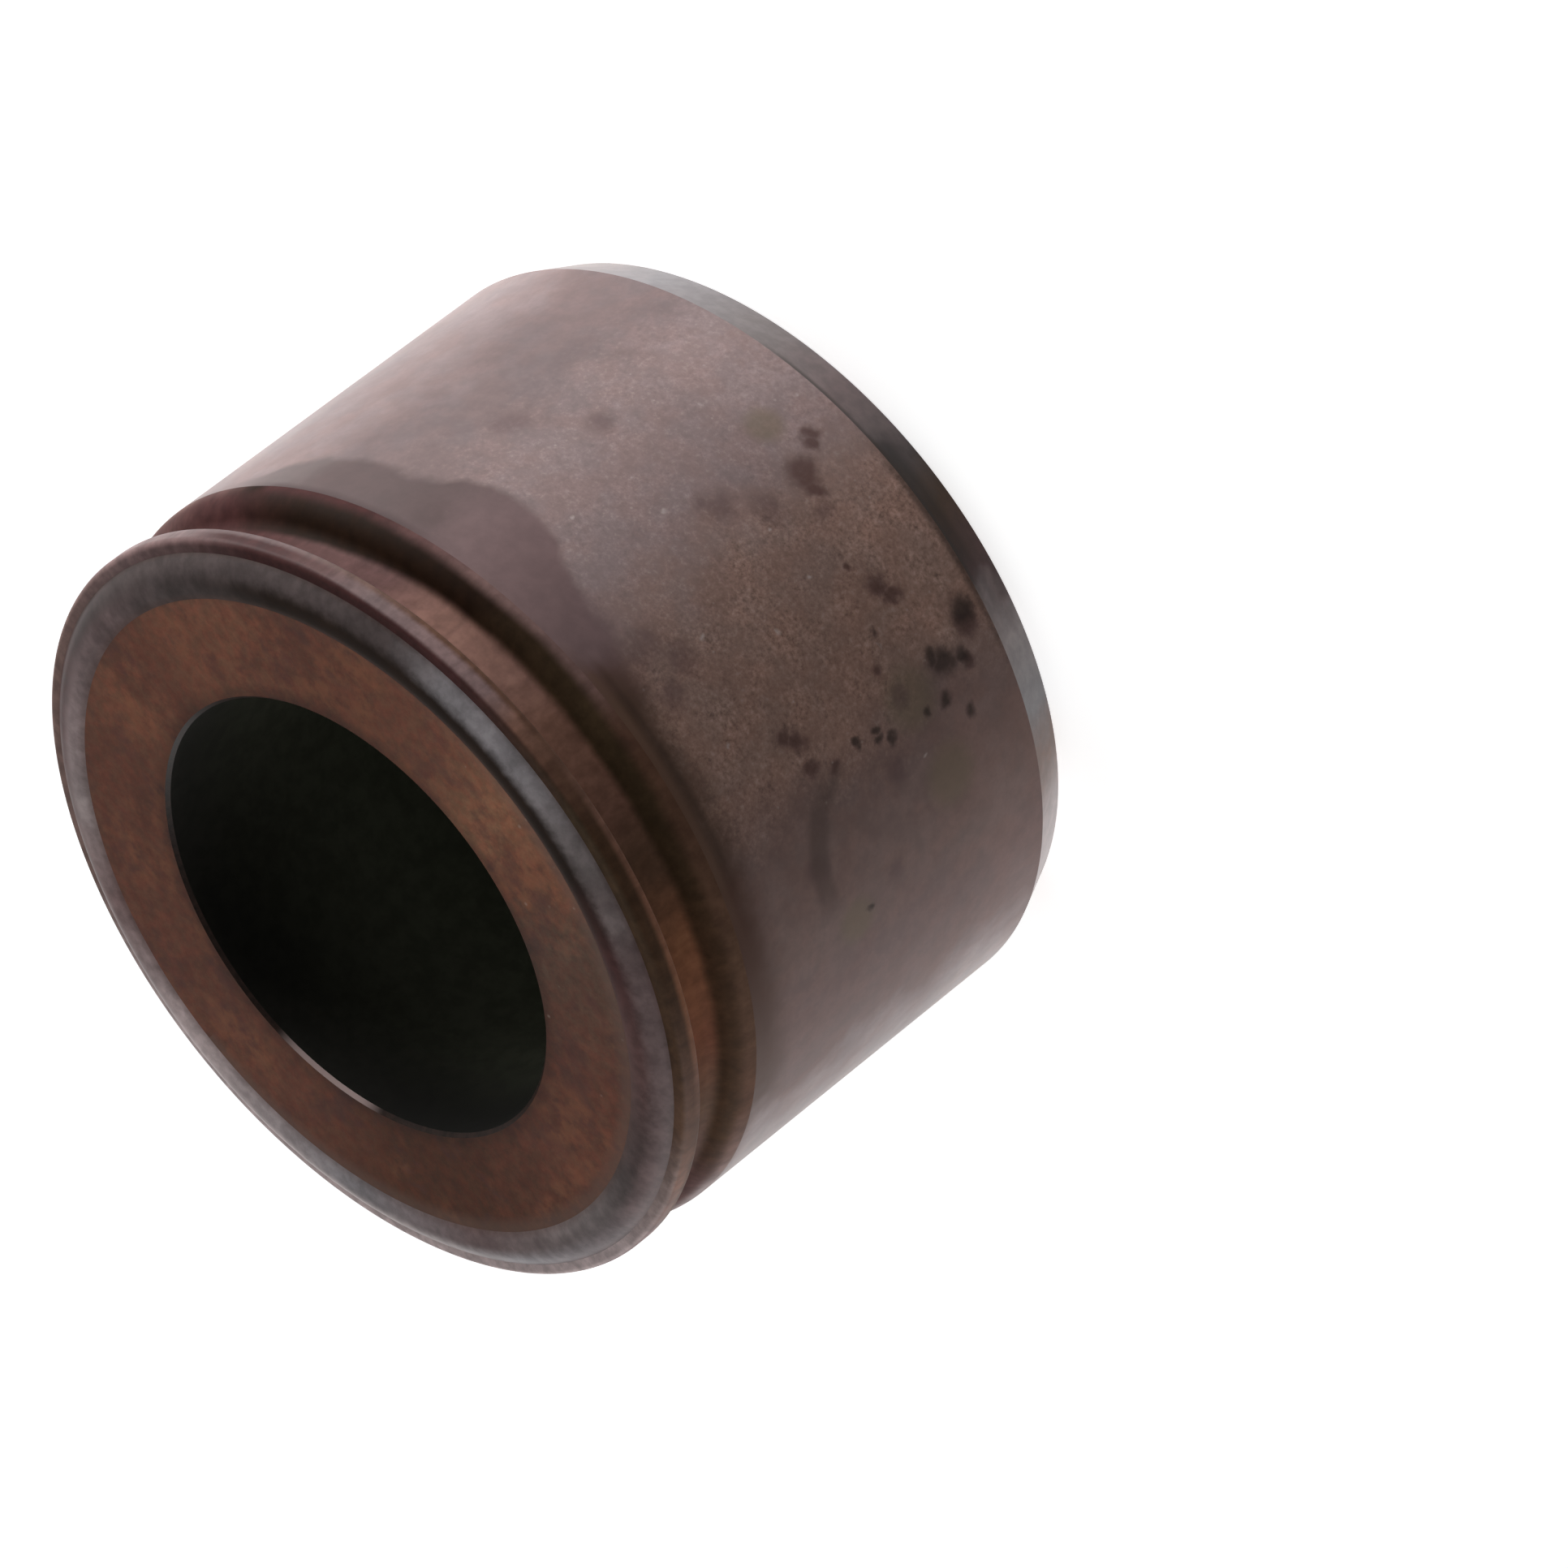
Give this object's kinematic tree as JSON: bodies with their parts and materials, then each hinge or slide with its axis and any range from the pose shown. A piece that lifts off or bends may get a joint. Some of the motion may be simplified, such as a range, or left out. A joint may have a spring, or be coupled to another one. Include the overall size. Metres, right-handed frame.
{
  "type": "brake caliper piston",
  "caption": "Thick-walled steel cup with a blind bore, a dust boot groove and a rounded lip near its open end, and a short lead-in taper at its closed end.",
  "frame": {"origin": "centre of the flat closed end", "axes": "+Z along the piston's axis, from the closed end to the open end that presses on the brake pad"},
  "size_m": [0.054, 0.054, 0.0383],
  "materials": {
    "oxide_steel": "brown-grey oxide on turned steel, semi-gloss, with a dusty film on the body and light rust on the annulus and in the groove"
  },
  "bodies": {
    "root": {"piston": "oxide_steel"}
  },
  "joints": []
}
